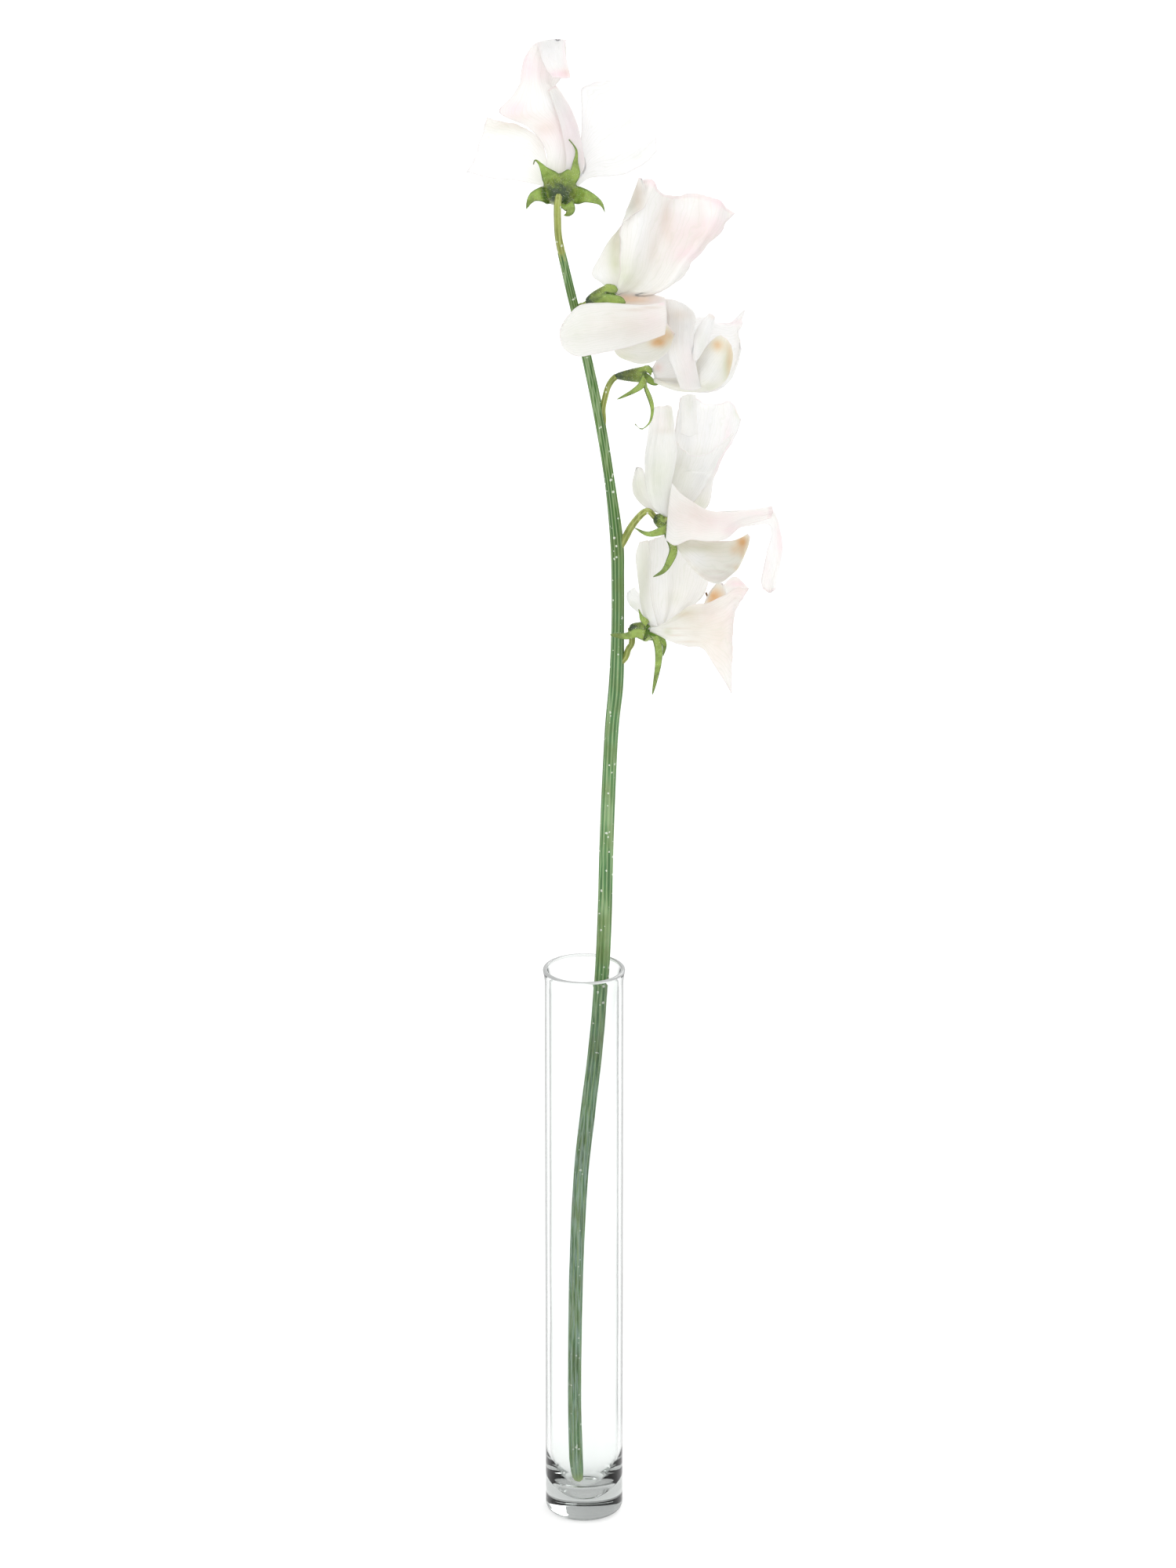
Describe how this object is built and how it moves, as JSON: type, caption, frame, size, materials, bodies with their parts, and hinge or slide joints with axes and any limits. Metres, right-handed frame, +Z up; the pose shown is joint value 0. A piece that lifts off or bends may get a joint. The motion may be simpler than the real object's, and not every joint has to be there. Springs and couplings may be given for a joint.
{
  "type": "sweet pea flower in a glass bud vase",
  "caption": "Cut sweet pea stem with white florets blushed pink, cream keels and green calyces, standing in a slim clear glass cylinder vase with a thick rounded bottom.",
  "frame": {"origin": "middle of the vase's flat base, on the surface that it stands on", "axes": "+Z up along the vase and the stem, +X the side that the lower florets lean to, -Y the front"},
  "size_m": [0.0863, 0.0443, 0.4237],
  "materials": {
    "glass": "polished",
    "stem": "satin",
    "pedicel": "satin",
    "calyx": "satin",
    "petal": "matte",
    "keel": "matte",
    "style": "matte"
  },
  "bodies": {
    "root": {"vase": "glass", "stem": "stem", "floret_1_pedicel": "pedicel", "floret_1_calyx": "calyx", "floret_1_standard": "petal", "floret_1_front_wing": "petal", "floret_1_back_wing": "petal", "floret_1_keel": "keel", "floret_2_pedicel": "pedicel", "floret_2_calyx": "calyx", "floret_2_standard": "petal", "floret_2_front_wing": "petal", "floret_2_back_wing": "petal", "floret_2_keel": "keel", "floret_3_pedicel": "pedicel", "floret_3_calyx": "calyx", "floret_3_standard": "petal", "floret_3_front_wing": "petal", "floret_3_back_wing": "petal", "floret_3_keel": "keel", "floret_4_pedicel": "pedicel", "floret_4_calyx": "calyx", "floret_4_standard": "petal", "floret_4_front_wing": "petal", "floret_4_back_wing": "petal", "floret_4_keel": "keel", "floret_5_pedicel": "pedicel", "floret_5_calyx": "calyx", "floret_5_standard": "petal", "floret_5_left_wing": "petal", "floret_5_right_wing": "petal", "floret_5_keel": "keel", "floret_1_style": "style"}
  },
  "joints": []
}
